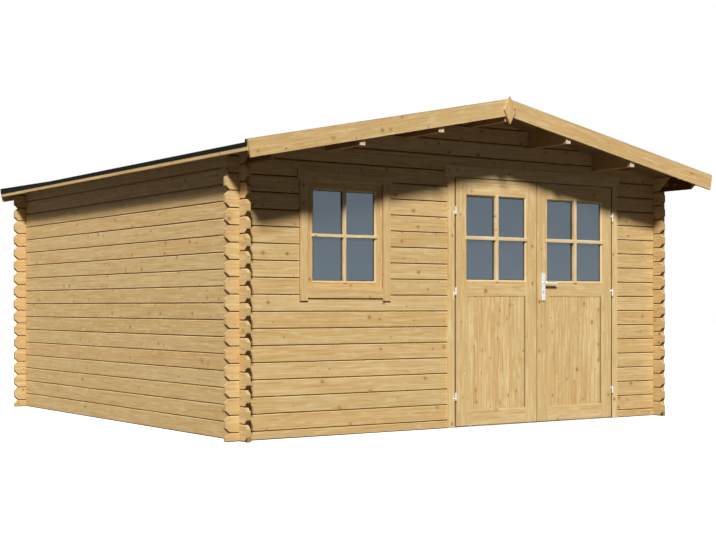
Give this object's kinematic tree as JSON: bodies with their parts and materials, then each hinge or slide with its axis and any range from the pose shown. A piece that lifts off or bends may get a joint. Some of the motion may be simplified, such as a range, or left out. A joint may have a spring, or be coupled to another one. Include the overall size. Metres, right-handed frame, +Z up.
{
  "type": "log-built wooden garden shed",
  "caption": "Garden shed of interlocking notched logs with a gable roof, an outward double door with glazed tops and a fixed barred window.",
  "frame": {"origin": "on the ground, at the centre of the roof outline's rectangle in plan", "axes": "+X to the right seen from the door front, +Y from the door front to the back, along the ridge, +Z up"},
  "size_m": [4.3112, 4.5426, 2.4093],
  "materials": {
    "log_wood": "planed untreated spruce",
    "roof_wood": "planed untreated spruce",
    "fascia_wood": "planed untreated spruce",
    "window_wood": "planed untreated spruce",
    "door_frame_wood": "planed untreated spruce",
    "door_wood": "planed untreated spruce",
    "floor_wood": "planed untreated spruce",
    "roofing_felt": "matt, sanded bitumen felt",
    "glass": "clear float glass",
    "threshold_metal": "mill finish",
    "hinge_metal": "zinc plated",
    "handle_metal": "satin"
  },
  "bodies": {
    "shed": {"left_wall": "log_wood", "right_wall": "log_wood", "left_top_log": "log_wood", "right_top_log": "log_wood", "front_wall_left": "log_wood", "front_wall_right": "log_wood", "front_gable": "log_wood", "back_wall": "log_wood", "back_gable": "log_wood", "ridge_purlin": "roof_wood", "left_purlins": "roof_wood", "right_purlins": "roof_wood", "left_roof_boards": "roof_wood", "right_roof_boards": "roof_wood", "left_roof_felt": "roofing_felt", "right_roof_felt": "roofing_felt", "eave_battens": "fascia_wood", "roof_edge_laths": "roofing_felt", "front_left_bargeboard": "fascia_wood", "front_right_bargeboard": "fascia_wood", "back_left_bargeboard": "fascia_wood", "back_right_bargeboard": "fascia_wood", "gable_plates": "fascia_wood", "window_trim": "window_wood", "window_lining": "window_wood", "window_sash": "window_wood", "window_glass": "glass", "door_frame": "door_frame_wood", "door_head_trim": "door_frame_wood", "door_threshold": "threshold_metal", "frame_hinges": "hinge_metal", "floor_bearers": "floor_wood", "floor_boards": "floor_wood"},
    "left_door": {"left_leaf_frame": "door_wood", "left_leaf_panel": "door_wood", "left_leaf_glass": "glass", "left_leaf_hinges": "hinge_metal"},
    "right_door": {"right_leaf_frame": "door_wood", "right_leaf_panel": "door_wood", "right_leaf_glass": "glass", "right_leaf_hinges": "hinge_metal", "handle_plates": "handle_metal"},
    "lever": {"door_lever": "handle_metal"}
  },
  "joints": [
    {"name": "left_door_hinge", "type": "hinge", "parent": "shed", "child": "left_door", "pos_m": [-0.1535, -1.834, 0], "axis": [0, 0, -1], "range_deg": [0, 120]},
    {"name": "right_door_hinge", "type": "hinge", "parent": "shed", "child": "right_door", "pos_m": [1.4515, -1.834, 0], "axis": [0, 0, 1], "range_deg": [0, 120]},
    {"name": "lever_turn", "type": "hinge", "parent": "right_door", "child": "lever", "pos_m": [0.712, -1.825, 1.084], "axis": [0, 1, 0], "range_deg": [0, 40], "stiffness_Nm_per_rad": 1, "springref_deg": -20.05}
  ]
}
